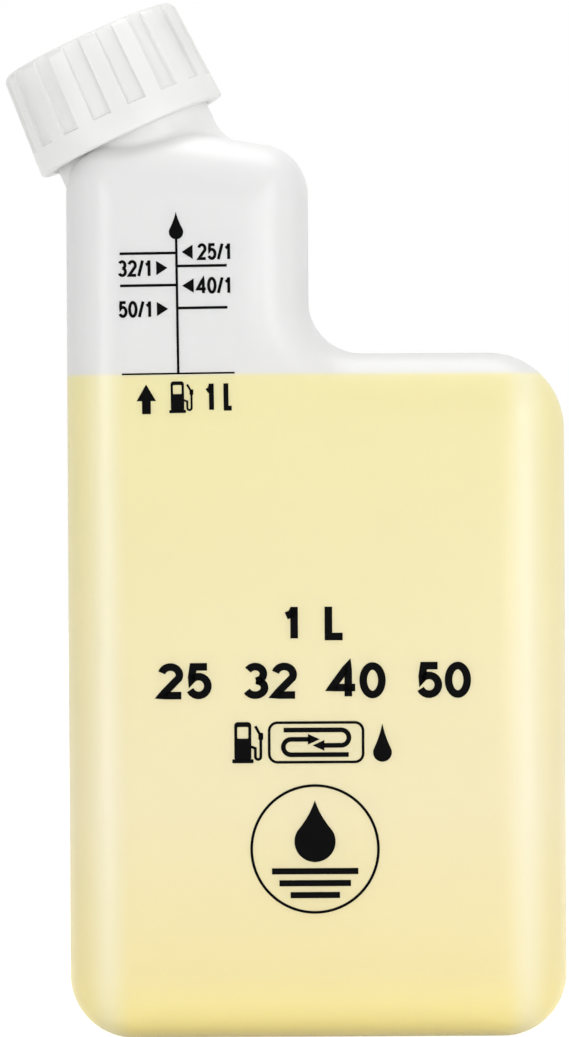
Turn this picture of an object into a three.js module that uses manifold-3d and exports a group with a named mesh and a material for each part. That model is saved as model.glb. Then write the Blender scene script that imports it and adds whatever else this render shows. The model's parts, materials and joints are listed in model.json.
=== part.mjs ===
// Fuel mixing bottle: a flat blow-moulded bottle with a narrow measuring chamber on its left,
// a tilted threaded neck, a ribbed screw cap with a foam liner, and fuel up to the one litre line.
// Millimetres, +Z up. The printed front faces -Y and the cap leans towards -X.

import * as THREE from "three";
import { mergeVertices } from "three/addons/utils/BufferGeometryUtils.js";
import Module from "manifold-3d";

const wasm = await Module();
wasm.setup();

// Body and chamber
const BODY_WIDTH = 121.5;
const BODY_DEPTH = 56.5;
const SHOULDER_HEIGHT = 167.1;
const CHAMBER_WIDTH = 59;
const CHAMBER_HEIGHT = 54.2; // from the shoulder to the low peak of the chamber's top
const PEAK_SETBACK = 30.75; // from the chamber's left side to that peak
const DECK_FALL_LEFT = 4.3; // from the peak to the chamber's left side
const DECK_FALL_RIGHT = 4.8;
const PEAK_ROUND = 30;
const BASE_CORNER = 15.5;
const SHOULDER_CORNER = 18.6;
const STEP_CORNER = 13.2;
const CHAMBER_CORNER = 12;
const FACE_ROUND_SIDE = 16; // how far the front's rounded edge reaches in from a side
const FACE_ROUND_DEPTH = 13; // and how far it reaches back
const BASE_ROUND = 10; // how far it reaches up from the base
const FACE_CORNER_MIN = 3;
const WALL = 1.2;

// Hollow in the base, so that the bottle stands on a ring
const FOOT_WIDTH = 5;
const HOLLOW_RISE = 1.6;
const HOLLOW_SLOPE = 2;
const HOLLOW_CORNER = 7;

// Fuel
const FILL_DROP = 4.9; // the one litre line lies this far under the shoulder
const FUEL_GAP = 0.3;

// Neck, along its own axis from the cap's lower edge
const NECK_TILT = 24.4; // degrees from upright
const NECK_SETBACK = 15.95; // from the chamber's left side to the axis at the cap's lower edge
const NECK_LIFT = 2; // from the chamber's top to the same point
const NECK_RADIUS = 18.8; // at the thread's root
const NECK_WALL = 2;
const NECK_RIM_HEIGHT = 21.9;
const NECK_BASE_STEP = 1.3; // the root is this much thicker than the threaded part
const NECK_BASE_TOP = 2;
const NECK_RIM_CHAMFER = 0.6;
const NECK_FILLET = 5;

// Thread, right-handed
const THREAD_PITCH = 5;
const THREAD_TURNS = 1.75;
const THREAD_DEPTH = 1.5;
const THREAD_ROOT = 2.2;
const THREAD_CREST = 1.2;
const THREAD_BELOW_RIM = 3;
const THREAD_FADE_TURNS = 0.1; // over which each end sinks into its wall
const THREAD_EMBED = 0.4;
const CAP_THREAD_DEPTH = 1.3;
const CREST_CLEARANCE = 0.5;
const FLANK_CLEARANCE = 0.3;

// Cap and liner
const CAP_SKIRT = 3.2; // wall at the lower edge
const CAP_TAPER = 3.3; // degrees
const CAP_TOP = 2;
const CAP_BAND = 6.2;
const CAP_TOP_ROUND = 2.2;
const CAP_LIP_ROUND = 0.8;
const CAP_LIP_CHAMFER = 0.6;
const RIB_COUNT = 16;
const RIB_SHARE = 0.5; // of each rib and flute together
const FLUTE_DEPTH = 0.9;
const LINER_THICKNESS = 1.5;
const LINER_GAP = 0.3;
const LINER_SIDE_GAP = 0.4;

// Facets
const CORNER_STEPS = 8;
const EDGE_STEPS = 6;
const NECK_SEGMENTS = 64;
const THREAD_STEPS = 32; // in one turn
const RIB_FACETS = 3; // across a rib, and across a flute

const rad = THREE.MathUtils.degToRad;

// Places that follow from the sizes above
const bodyLeft = -BODY_WIDTH / 2;
const chamberRight = bodyLeft + CHAMBER_WIDTH;
const peak = new THREE.Vector2(bodyLeft + PEAK_SETBACK, SHOULDER_HEIGHT + CHAMBER_HEIGHT);
const deckLeft = peak.y - DECK_FALL_LEFT;
const deckRight = peak.y - DECK_FALL_RIGHT;
const leftRise = DECK_FALL_LEFT / PEAK_SETBACK;
const rightFall = DECK_FALL_RIGHT / (CHAMBER_WIDTH - PEAK_SETBACK);
const fillLevel = SHOULDER_HEIGHT - FILL_DROP;
const boreRadius = NECK_RADIUS - NECK_WALL;
const neckBaseRadius = NECK_RADIUS + NECK_BASE_STEP;
const threadCrestRadius = NECK_RADIUS + THREAD_DEPTH;
const capBoreRadius = Math.max(threadCrestRadius, neckBaseRadius) + CREST_CLEARANCE;
const capRadius = capBoreRadius + CAP_SKIRT;
const linerSeat = NECK_RIM_HEIGHT + LINER_GAP;
const capCeiling = linerSeat + LINER_THICKNESS + LINER_GAP;
const capHeight = capCeiling + CAP_TOP;
const capTopRadius = capRadius - capHeight * Math.tan(rad(CAP_TAPER));
const neckFoot = new THREE.Vector3(
  bodyLeft + NECK_SETBACK,
  0,
  deckLeft + NECK_SETBACK * leftRise + NECK_LIFT,
);

// A closed geometry as a solid: shared corners merged, flat triangles dropped, faces pointing out.
function solid(geometry) {
  const bare = new THREE.BufferGeometry();
  bare.setAttribute("position", geometry.getAttribute("position"));
  bare.setIndex(geometry.getIndex());
  const merged = mergeVertices(bare, 1e-4);
  const points = merged.getAttribute("position").array;
  const all = merged.getIndex().array;
  const kept = [];
  for (let i = 0; i < all.length; i += 3) {
    const [a, b, c] = [all[i], all[i + 1], all[i + 2]];
    if (a !== b && b !== c && c !== a) kept.push(a, b, c);
  }
  if (signedVolume(points, kept) < 0) kept.reverse();
  return new wasm.Manifold(
    new wasm.Mesh({
      numProp: 3,
      vertProperties: new Float32Array(points),
      triVerts: new Uint32Array(kept),
    }),
  );
}

function signedVolume(points, triangles) {
  const corner = (i) => new THREE.Vector3().fromArray(points, 3 * i);
  let six = 0;
  for (let i = 0; i < triangles.length; i += 3) {
    const [a, b, c] = [corner(triangles[i]), corner(triangles[i + 1]), corner(triangles[i + 2])];
    six += a.dot(b.cross(c));
  }
  return six;
}

function geometryOf(manifold) {
  const mesh = manifold.getMesh();
  const geometry = new THREE.BufferGeometry();
  geometry.setAttribute("position", new THREE.BufferAttribute(mesh.vertProperties, 3));
  geometry.setIndex(new THREE.BufferAttribute(mesh.triVerts, 1));
  geometry.computeVertexNormals();
  return geometry;
}

// A closed skin over rings with equal counts. Seen on the plane that flatten gives, or else any
// convex way round, each ring runs counter-clockwise about the way the rings go.
function loft(rings, flatten) {
  const count = rings[0].length;
  const points = rings.flat().flatMap((p) => [p.x, p.y, p.z]);
  const faces = [];
  for (let ring = 0; ring + 1 < rings.length; ring++) {
    for (let i = 0; i < count; i++) {
      const a = ring * count + i;
      const b = ring * count + ((i + 1) % count);
      faces.push(a, b, b + count, a, b + count, a + count);
    }
  }
  const last = (rings.length - 1) * count;
  for (const [a, b, c] of endFaces(rings[0], flatten)) faces.push(c, b, a);
  for (const [a, b, c] of endFaces(rings.at(-1), flatten)) faces.push(last + a, last + b, last + c);
  const geometry = new THREE.BufferGeometry();
  geometry.setAttribute("position", new THREE.Float32BufferAttribute(points, 3));
  geometry.setIndex(faces);
  return geometry;
}

function endFaces(ring, flatten) {
  if (flatten) return THREE.ShapeUtils.triangulateShape(ring.map(flatten), []);
  return ring.slice(2).map((_, i) => [0, i + 1, i + 2]);
}

// Points of a counter-clockwise outline with rounded corners. Each side is first moved inwards by
// its inset, which takes that much off a convex corner's radius and adds it to a concave one's.
function roundedOutline(corners, steps) {
  const count = corners.length;
  const at = (list, i) => list[(i + count) % count];
  const sides = corners.map((corner, i) => {
    const along = at(corners, i + 1).place.clone().sub(corner.place).normalize();
    const inward = new THREE.Vector2(-along.y, along.x);
    return { along, inward, start: corner.place.clone().addScaledVector(inward, corner.inset) };
  });
  const places = corners.map((_, i) => crossing(at(sides, i - 1), sides[i]));
  const turns = corners.map((_, i) => {
    const [before, after] = [at(sides, i - 1).along, sides[i].along];
    return Math.atan2(before.cross(after), before.dot(after));
  });
  const radii = corners.map((corner, i) => {
    const inset = Math.min(corner.inset, at(corners, i - 1).inset);
    return turns[i] > 0 ? Math.max(corner.radius - inset, corner.least) : corner.radius + inset;
  });
  const reaches = radii.map((radius, i) => radius * Math.tan(Math.abs(turns[i]) / 2));
  const room = places.map((place, i) => {
    const length = place.distanceTo(at(places, i + 1));
    return Math.min(1, (0.98 * length) / (reaches[i] + at(reaches, i + 1)));
  });
  return corners.flatMap((_, i) => {
    const share = Math.min(room[i], at(room, i - 1));
    return cornerArc(places[i], at(sides, i - 1), turns[i], radii[i] * share, steps);
  });
}

function crossing(one, other) {
  const gap = other.start.clone().sub(one.start);
  return one.start.clone().addScaledVector(one.along, gap.cross(other.along) / one.along.cross(other.along));
}

function cornerArc(place, side, turn, radius, steps) {
  const start = place.clone().addScaledVector(side.along, -radius * Math.tan(Math.abs(turn) / 2));
  const centre = start.clone().addScaledVector(side.inward, radius * Math.sign(turn));
  return Array.from({ length: steps + 1 }, (_, i) =>
    start.clone().rotateAround(centre, (turn * i) / steps),
  );
}

// The bottle's front outline, with its wall inset and the extra inset of its rounded edges
function bottleOutline(inset, edge) {
  const side = inset + edge;
  const base = inset + (edge * BASE_ROUND) / FACE_ROUND_SIDE;
  const corner = (x, z, radius, nextInset = side) => ({
    place: new THREE.Vector2(x, z),
    radius,
    inset: nextInset,
    least: FACE_CORNER_MIN,
  });
  return roundedOutline(
    [
      corner(bodyLeft, 0, BASE_CORNER, base),
      corner(-bodyLeft, 0, BASE_CORNER),
      corner(-bodyLeft, SHOULDER_HEIGHT, SHOULDER_CORNER),
      corner(chamberRight, SHOULDER_HEIGHT, STEP_CORNER),
      corner(chamberRight, deckRight, CHAMBER_CORNER),
      corner(peak.x, peak.y, PEAK_ROUND),
      corner(bodyLeft, deckLeft, CHAMBER_CORNER),
    ],
    CORNER_STEPS,
  );
}

// Body and chamber as one solid, shrunk by the inset, with the front and back edges rounded
function bottleForm(inset) {
  const halfDepth = BODY_DEPTH / 2 - inset;
  const [reachSide, reachDepth] = [FACE_ROUND_SIDE - inset, FACE_ROUND_DEPTH - inset];
  const front = Array.from({ length: EDGE_STEPS + 1 }, (_, i) => {
    const angle = (i / EDGE_STEPS) * (Math.PI / 2);
    const y = halfDepth - reachDepth + reachDepth * Math.sin(angle);
    return { y, points: bottleOutline(inset, reachSide * (1 - Math.cos(angle))) };
  });
  const layers = [...front.slice().reverse(), ...front.map(({ y, points }) => ({ y: -y, points }))];
  const rings = layers.map(({ y, points }) => points.map((p) => new THREE.Vector3(p.x, y, p.y)));
  return solid(loft(rings, (p) => new THREE.Vector2(p.x, p.z)));
}

// The base's hollow, grown on all sides for the surfaces that lie over it
function baseHollow(growth) {
  const ring = (slope, z) => {
    const halfX = BODY_WIDTH / 2 - FACE_ROUND_SIDE - FOOT_WIDTH - slope + growth;
    const halfY = BODY_DEPTH / 2 - FACE_ROUND_DEPTH - FOOT_WIDTH - slope + growth;
    const corners = [[-1, -1], [1, -1], [1, 1], [-1, 1]].map(([x, y]) => ({
      place: new THREE.Vector2(x * halfX, y * halfY),
      radius: HOLLOW_CORNER,
      inset: 0,
      least: 0,
    }));
    return roundedOutline(corners, EDGE_STEPS).map((p) => new THREE.Vector3(p.x, p.y, z));
  };
  return solid(loft([ring(-HOLLOW_SLOPE, -HOLLOW_RISE), ring(HOLLOW_SLOPE, HOLLOW_RISE + growth)]));
}

// Where the neck's right side meets the chamber's top, along the neck's axis from the cap's edge
function rightRoot() {
  const tilt = rad(NECK_TILT);
  const x = neckFoot.x + neckBaseRadius * Math.cos(tilt);
  const z = neckFoot.z + neckBaseRadius * Math.sin(tilt);
  const deck = peak.y - (x - peak.x) * rightFall;
  return (deck - z) / (Math.cos(tilt) - Math.sin(tilt) * rightFall);
}

// The neck's outside, as rings about its own axis. A fillet on its right side runs into the
// chamber's top and fades out towards the left.
function neckForm() {
  const bend = Math.PI / 2 - rad(NECK_TILT) + Math.atan(rightFall);
  const filletTop = rightRoot() + NECK_FILLET * Math.tan(bend / 2);
  const stations = Array.from({ length: EDGE_STEPS + 1 }, (_, i) => {
    const angle = (1 - i / EDGE_STEPS) * bend;
    return {
      z: filletTop - NECK_FILLET * Math.sin(angle),
      radius: neckBaseRadius,
      flare: NECK_FILLET * (1 - Math.cos(angle)),
    };
  });
  stations.push(
    { z: NECK_BASE_TOP, radius: neckBaseRadius, flare: 0 },
    { z: NECK_BASE_TOP + NECK_BASE_STEP, radius: NECK_RADIUS, flare: 0 },
    { z: NECK_RIM_HEIGHT - NECK_RIM_CHAMFER, radius: NECK_RADIUS, flare: 0 },
    { z: NECK_RIM_HEIGHT, radius: NECK_RADIUS - NECK_RIM_CHAMFER, flare: 0 },
  );
  const rings = stations.map(({ z, radius, flare }) =>
    Array.from({ length: NECK_SEGMENTS }, (_, i) => {
      const angle = (i / NECK_SEGMENTS) * 2 * Math.PI;
      const reach = radius + flare * Math.max(0, Math.cos(angle)) ** 2;
      return new THREE.Vector3(reach * Math.cos(angle), reach * Math.sin(angle), z);
    }),
  );
  return solid(loft(rings));
}

// A thread's ridge on a wall of the given radius, standing out for a positive depth and in for a
// negative one. Both ends sink into the wall.
function threadRidge(wallRadius, depth, firstHeight) {
  const outward = Math.sign(depth);
  const steps = Math.round(THREAD_TURNS * THREAD_STEPS);
  const rings = Array.from({ length: steps + 1 }, (_, i) => {
    const turns = (i / steps) * THREAD_TURNS;
    const fade = Math.min(1, turns / THREAD_FADE_TURNS, (THREAD_TURNS - turns) / THREAD_FADE_TURNS);
    const rise = depth * fade - outward * (1 - fade) * (THREAD_EMBED / 2);
    const [root, crest] = [wallRadius - outward * THREAD_EMBED, wallRadius + rise];
    const section = [
      [root, -THREAD_ROOT / 2],
      [crest, -THREAD_CREST / 2],
      [crest, THREAD_CREST / 2],
      [root, THREAD_ROOT / 2],
    ];
    const angle = turns * 2 * Math.PI;
    const height = firstHeight + turns * THREAD_PITCH;
    return section.map(
      ([r, z]) => new THREE.Vector3(r * Math.cos(angle), r * Math.sin(angle), height + z),
    );
  });
  return solid(loft(rings));
}

const neckThreadStart = NECK_RIM_HEIGHT - THREAD_BELOW_RIM - THREAD_TURNS * THREAD_PITCH;
const capThreadStart = neckThreadStart - (THREAD_ROOT + THREAD_CREST) / 2 - FLANK_CLEARANCE;

const neckFrame = new THREE.Matrix4().makeRotationY(-rad(NECK_TILT)).setPosition(neckFoot);

// A solid made about the neck's axis, set in the bottle's frame
function onNeck(manifold) {
  return solid(geometryOf(manifold).applyMatrix4(neckFrame));
}

function bottleGeometry() {
  const outside = bottleForm(0).subtract(baseHollow(0));
  const inside = bottleForm(WALL).subtract(baseHollow(WALL));
  const neck = neckForm().add(threadRidge(NECK_RADIUS, THREAD_DEPTH, neckThreadStart));
  const boreBottom = rightRoot();
  const boreLength = NECK_RIM_HEIGHT + 1 - boreBottom;
  const bore = new THREE.CylinderGeometry(boreRadius, boreRadius, boreLength, NECK_SEGMENTS);
  bore.rotateX(Math.PI / 2).translate(0, 0, boreBottom + boreLength / 2);
  return geometryOf(outside.add(onNeck(neck)).subtract(inside).subtract(onNeck(solid(bore))));
}

function fuelGeometry() {
  const inset = WALL + FUEL_GAP;
  const slab = new THREE.BoxGeometry(2 * BODY_WIDTH, 2 * BODY_DEPTH, fillLevel);
  slab.translate(0, 0, fillLevel / 2);
  return geometryOf(bottleForm(inset).subtract(baseHollow(inset)).intersect(solid(slab)));
}

// The cap's wall and top as one turned profile, before its flutes and thread
function capBlank() {
  const slope = Math.tan(rad(CAP_TAPER));
  const outerAt = (z) => capRadius - z * slope;
  const arc = (radius, centreZ, from, to, z) =>
    Array.from({ length: EDGE_STEPS + 1 }, (_, i) => {
      const angle = from + ((to - from) * i) / EDGE_STEPS;
      const centre = outerAt(z) - radius;
      return new THREE.Vector2(centre + radius * Math.cos(angle), centreZ + radius * Math.sin(angle));
    });
  const topCentre = capHeight - CAP_TOP_ROUND;
  const profile = [
    new THREE.Vector2(0, capCeiling),
    new THREE.Vector2(capBoreRadius, capCeiling),
    new THREE.Vector2(capBoreRadius, CAP_LIP_CHAMFER),
    new THREE.Vector2(capBoreRadius + CAP_LIP_CHAMFER, 0),
    ...arc(CAP_LIP_ROUND, CAP_LIP_ROUND, -Math.PI / 2, -rad(CAP_TAPER), CAP_LIP_ROUND),
    ...arc(CAP_TOP_ROUND, topCentre, rad(CAP_TAPER), Math.PI / 2, topCentre),
    new THREE.Vector2(0, capHeight),
  ];
  const blank = new THREE.LatheGeometry(profile, RIB_COUNT * RIB_FACETS * 2);
  return solid(blank.rotateX(Math.PI / 2));
}

// One flute's cutter: a bar laid along the cap's slope, from the band to above the top
function fluteCutter() {
  const middle = (CAP_BAND + capHeight) / 2;
  const width = 2 * capRadius * Math.sin(((1 - RIB_SHARE) * Math.PI) / RIB_COUNT);
  const bar = new THREE.BoxGeometry(2 * capRadius, width, 2 * capHeight);
  bar.translate(capRadius - FLUTE_DEPTH, 0, capHeight);
  bar.rotateY(-rad(CAP_TAPER));
  const foot = new THREE.BoxGeometry(4 * capRadius, 2 * width, 2 * middle);
  foot.translate(2 * capRadius, 0, CAP_BAND - middle);
  const radiusAtBand = capRadius - CAP_BAND * Math.tan(rad(CAP_TAPER));
  bar.translate(radiusAtBand, 0, CAP_BAND - capHeight / 2);
  return solid(bar).subtract(solid(foot));
}

function capGeometry() {
  let cap = capBlank();
  const cutter = fluteCutter();
  for (let i = 0; i < RIB_COUNT; i++) {
    const turned = geometryOf(cutter).rotateZ(((i + 0.5) * 2 * Math.PI) / RIB_COUNT);
    cap = cap.subtract(solid(turned));
  }
  return geometryOf(cap.add(threadRidge(capBoreRadius, -CAP_THREAD_DEPTH, capThreadStart)));
}

function linerGeometry() {
  const radius = capBoreRadius - LINER_SIDE_GAP;
  const disc = new THREE.CylinderGeometry(radius, radius, LINER_THICKNESS, NECK_SEGMENTS);
  return disc.rotateX(Math.PI / 2).translate(0, 0, linerSeat + LINER_THICKNESS / 2);
}

function part(name, geometry, material) {
  const mesh = new THREE.Mesh(geometry, new THREE.MeshStandardMaterial(material));
  mesh.name = name;
  return mesh;
}

const neckGroup = new THREE.Group();
neckGroup.position.copy(neckFoot);
neckGroup.rotation.y = -rad(NECK_TILT);
neckGroup.add(
  part("cap", capGeometry(), { color: 0xe6e8ea, roughness: 0.45, metalness: 0 }),
  part("cap_liner", linerGeometry(), { color: 0xf2f2ee, roughness: 0.8, metalness: 0 }),
);

const bottle = new THREE.Group();
bottle.add(
  part("bottle", bottleGeometry(), { color: 0xe2e4e3, roughness: 0.4, metalness: 0 }),
  part("fuel", fuelGeometry(), { color: 0xf2e8b0, roughness: 0.05, metalness: 0 }),
  neckGroup,
);

// The origin is under the middle of the whole footprint, from the cap's far edge to the body's
const capFarEdge =
  neckFoot.x - capHeight * Math.sin(rad(NECK_TILT)) - capTopRadius * Math.cos(rad(NECK_TILT));
bottle.position.x = -(capFarEdge + BODY_WIDTH / 2) / 2;

export default bottle;
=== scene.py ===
"""Looks of the fuel mixing bottle: a milky blow-moulded bottle, yellow fuel up to the litre line, a
ribbed white screw cap with its foam liner, and the black print on the front.

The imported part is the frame. Lengths are millimetres in the frame's axes until a mesh is made.
"""

import json
import math

import bmesh
import bpy
import numpy as np
from mathutils import Matrix, Vector
from mathutils.bvhtree import BVHTree


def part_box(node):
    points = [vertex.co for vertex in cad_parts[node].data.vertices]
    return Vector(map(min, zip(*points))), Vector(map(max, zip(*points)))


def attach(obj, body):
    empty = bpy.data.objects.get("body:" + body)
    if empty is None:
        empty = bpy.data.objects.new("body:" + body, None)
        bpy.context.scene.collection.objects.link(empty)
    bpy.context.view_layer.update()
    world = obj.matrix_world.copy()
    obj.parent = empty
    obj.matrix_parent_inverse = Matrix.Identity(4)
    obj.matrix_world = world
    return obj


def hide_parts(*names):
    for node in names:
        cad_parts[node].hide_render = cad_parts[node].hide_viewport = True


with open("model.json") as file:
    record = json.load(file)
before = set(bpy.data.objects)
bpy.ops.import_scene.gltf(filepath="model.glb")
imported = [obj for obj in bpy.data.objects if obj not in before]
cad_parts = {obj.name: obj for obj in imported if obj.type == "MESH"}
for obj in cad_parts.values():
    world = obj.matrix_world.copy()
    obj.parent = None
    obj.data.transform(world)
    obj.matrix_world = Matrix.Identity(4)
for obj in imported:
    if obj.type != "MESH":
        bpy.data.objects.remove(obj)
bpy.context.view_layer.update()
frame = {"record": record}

MM = 0.001

# Sizes read from the frame
RIGHT, HALF_DEPTH = np.array(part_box("bottle")[1][:2]) / MM
FILL_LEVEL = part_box("fuel")[1][2] / MM
turn = next(joint for joint in frame["record"]["behaviour"]["joints"] if joint["name"] == "cap_turn")
NECK_FOOT = np.array(turn["pos_m"]) / MM
NECK_UP = np.array(turn["axis"])

# Body and chamber
BODY_WIDTH = 121.5
SHOULDER_HEIGHT = 167.1
CHAMBER_WIDTH = 59
CHAMBER_HEIGHT = 54.2
PEAK_SETBACK = 30.75
DECK_FALL_LEFT = 4.3
DECK_FALL_RIGHT = 4.8
PEAK_ROUND = 30
BASE_CORNER = 15.5
SHOULDER_CORNER = 18.6
STEP_CORNER = 13.2
CHAMBER_CORNER = 12
FACE_ROUND_SIDE = 16
FACE_ROUND_DEPTH = 13
BASE_ROUND = 10
FACE_CORNER_MIN = 3
WALL = 1.2
FACE_MARGIN = 0.6  # flat strip that keeps the face's shading even
SEAM_HEIGHT = 0.22
SEAM_WIDTH = 0.45

# Base
FOOT_WIDTH = 5
HOLLOW_RISE = 1.6
HOLLOW_SLOPE = 2
HOLLOW_CORNER = 7
PINCH_LENGTH = 62
PINCH_WIDTH = 1.4
PINCH_HEIGHT = 0.7
PINCH_CREST = 0.6  # width of its crest as a share of its foot

# Fuel
FUEL_GAP = 0.3
MENISCUS = 0.7
MENISCUS_STEP = 0.5
MENISCUS_FALLS = (0.5, 0.25, 0.125, 0.125)  # shares of its height lost at each step in from the wall
TOP_TOLERANCE = 0.01

# Neck, along its own axis from the cap's lower edge
NECK_RADIUS = 18.8
NECK_WALL = 2
NECK_BASE_STEP = 1.3
NECK_BASE_TOP = 2
NECK_RIM_HEIGHT = 21.9
NECK_RIM_ROUND = 0.6
BORE_FOOT = -9
ROOT_FILLET = 1.3  # all round the neck's root
ROOT_FILLET_RIGHT = 4.2  # and this much more on its right side
ROOT_LIFT = 0.02  # keeps the fillet's outer end clear of the surface that it meets

# Thread
THREAD_PITCH = 5
THREAD_TURNS = 1.75
THREAD_DEPTH = 1.5
THREAD_ROOT = 2.2
THREAD_CREST = 1.2
THREAD_BELOW_RIM = 3
THREAD_FADE_TURNS = 0.1
THREAD_EMBED = 0.4
CAP_THREAD_DEPTH = 1.3
CREST_CLEARANCE = 0.5
FLANK_CLEARANCE = 0.3

# Cap and liner
CAP_SKIRT = 3.6
CAP_TAPER = math.radians(3.3)
CAP_TOP = 2.4
CAP_BAND = 6.2
CAP_TOP_ROUND = 2.2
CAP_LIP_ROUND = 0.8
CAP_LIP_CHAMFER = 0.6
RIB_COUNT = 16
FLUTE_HALF_ANGLE = math.radians(5.75)
FLUTE_EDGE = math.radians(0.55)
FLUTE_DEPTH = 0.9
LEDGE_HEIGHT = 0.3
GATE_RADIUS = 1.4
GATE_DEPTH = 0.35
LINER_THICKNESS = 1.5
LINER_GAP = 0.3
LINER_SIDE_GAP = 0.4
LINER_ROUND = 0.3

# Facets
CORNER_STEPS = 18
EDGE_STEPS = 14
NECK_SEGMENTS = 160
THREAD_STEPS = 96

# Places that follow
LEFT = RIGHT - BODY_WIDTH
MIDDLE = (LEFT + RIGHT) / 2
CHAMBER_RIGHT = LEFT + CHAMBER_WIDTH
PEAK_X = LEFT + PEAK_SETBACK
PEAK_Z = SHOULDER_HEIGHT + CHAMBER_HEIGHT
NECK_RIGHT = np.array([NECK_UP[2], 0, -NECK_UP[0]])
NECK_BACK = np.array([0, 1, 0])
NECK_BASE_RADIUS = NECK_RADIUS + NECK_BASE_STEP
THREAD_CREST_RADIUS = NECK_RADIUS + THREAD_DEPTH
CAP_BORE = max(THREAD_CREST_RADIUS, NECK_BASE_RADIUS) + CREST_CLEARANCE
CAP_RADIUS = CAP_BORE + CAP_SKIRT
LINER_SEAT = NECK_RIM_HEIGHT + LINER_GAP
CAP_CEILING = LINER_SEAT + LINER_THICKNESS + LINER_GAP
CAP_HEIGHT = CAP_CEILING + CAP_TOP
NECK_THREAD_START = NECK_RIM_HEIGHT - THREAD_BELOW_RIM - THREAD_TURNS * THREAD_PITCH
CAP_THREAD_START = NECK_THREAD_START - (THREAD_ROOT + THREAD_CREST) / 2 - FLANK_CLEARANCE


# Meshes

CORNER_SIGNS = ((-1, -1), (1, -1), (1, 1), (-1, 1))


def new_object(name, points, faces):
    """A mesh object of points in millimetres, with its faces turned outwards."""
    mesh = bpy.data.meshes.new(name)
    mesh.from_pydata([tuple(np.asarray(p) * MM) for p in points], [], faces)
    shape = bmesh.new()
    shape.from_mesh(mesh)
    bmesh.ops.recalc_face_normals(shape, faces=shape.faces)
    shape.to_mesh(mesh)
    shape.free()
    obj = bpy.data.objects.new(name, mesh)
    bpy.context.scene.collection.objects.link(obj)
    return obj


def loft(name, rings):
    """A closed skin over rings with equal counts, with one flat face at each end."""
    count = len(rings[0])
    points = [point for ring in rings for point in ring]
    faces = []
    for ring in range(len(rings) - 1):
        for i in range(count):
            a = ring * count + i
            b = ring * count + (i + 1) % count
            faces.append((a, b, b + count, a + count))
    last = (len(rings) - 1) * count
    faces.append(tuple(range(count))[::-1])
    faces.append(tuple(range(last, last + count)))
    return new_object(name, points, faces)


def combine(base, other, operation):
    """Joins other to base, or cuts it away, and removes other."""
    modifier = base.modifiers.new(operation, "BOOLEAN")
    modifier.operation = operation
    modifier.solver = "EXACT"
    modifier.object = other
    evaluated = base.evaluated_get(bpy.context.evaluated_depsgraph_get())
    mesh = bpy.data.meshes.new_from_object(evaluated)
    base.modifiers.clear()
    base.data = mesh
    bpy.data.objects.remove(other)


def shade(obj, material, angle):
    """Smooth shading apart from edges sharper than the angle, in degrees."""
    obj.data.shade_smooth()
    obj.data.set_sharp_from_angle(angle=math.radians(angle))
    obj.data.materials.clear()
    obj.data.materials.append(material)


def smooth_step(value):
    """0 to 1 with a soft start and end."""
    clipped = np.clip(value, 0, 1)
    return clipped * clipped * (3 - 2 * clipped)


# The bottle's form

def crossing(one, other):
    """Where two lines meet, each given as a point and a direction."""
    (p, d), (q, e) = one, other
    gap = q - p
    return p + d * (gap[0] * e[1] - gap[1] * e[0]) / (d[0] * e[1] - d[1] * e[0])


def rounded_outline(corners, steps):
    """Points of a counter-clockwise outline.

    Each corner is (x, z, radius, inset of its next side, least radius).
    """
    count = len(corners)
    places = [np.array(corner[:2], float) for corner in corners]
    sides = []
    for i, (_, _, _, inset, _) in enumerate(corners):
        along = places[(i + 1) % count] - places[i]
        along = along / np.linalg.norm(along)
        inward = np.array([-along[1], along[0]])
        sides.append((places[i] + inward * inset, along, inward))
    moved = [crossing(sides[i - 1][:2], sides[i][:2]) for i in range(count)]
    turns, radii = [], []
    for i, (_, _, radius, inset, least) in enumerate(corners):
        before, after = sides[i - 1][1], sides[i][1]
        turns.append(math.atan2(before[0] * after[1] - before[1] * after[0], before @ after))
        shrink = min(inset, corners[i - 1][3])
        radii.append(max(radius - shrink, least) if turns[i] > 0 else radius + shrink)
    reaches = [radius * math.tan(abs(angle) / 2) for radius, angle in zip(radii, turns)]
    room = []
    for i in range(count):
        after = (i + 1) % count
        length = np.linalg.norm(moved[after] - moved[i])
        room.append(min(1, 0.98 * length / (reaches[i] + reaches[after])))
    points = []
    for i in range(count):
        radius = radii[i] * min(room[i], room[i - 1])
        _, along, inward = sides[i - 1]
        start = moved[i] - along * radius * math.tan(abs(turns[i]) / 2)
        centre = start + inward * radius * np.sign(turns[i])
        for step in range(steps + 1):
            angle = turns[i] * step / steps
            c, s = math.cos(angle), math.sin(angle)
            x, z = start - centre
            points.append(centre + np.array([c * x - s * z, s * x + c * z]))
    return points


def bottle_outline(inset, edge):
    """Body and chamber from the front, drawn in by the inset and by how far the edge has rounded."""
    side = inset + edge
    base = inset + edge * BASE_ROUND / FACE_ROUND_SIDE
    corners = [
        (LEFT, 0, BASE_CORNER, base),
        (RIGHT, 0, BASE_CORNER, side),
        (RIGHT, SHOULDER_HEIGHT, SHOULDER_CORNER, side),
        (CHAMBER_RIGHT, SHOULDER_HEIGHT, STEP_CORNER, side),
        (CHAMBER_RIGHT, PEAK_Z - DECK_FALL_RIGHT, CHAMBER_CORNER, side),
        (PEAK_X, PEAK_Z, PEAK_ROUND, side),
        (LEFT, PEAK_Z - DECK_FALL_LEFT, CHAMBER_CORNER, side),
    ]
    return rounded_outline([corner + (FACE_CORNER_MIN,) for corner in corners], CORNER_STEPS)


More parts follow.
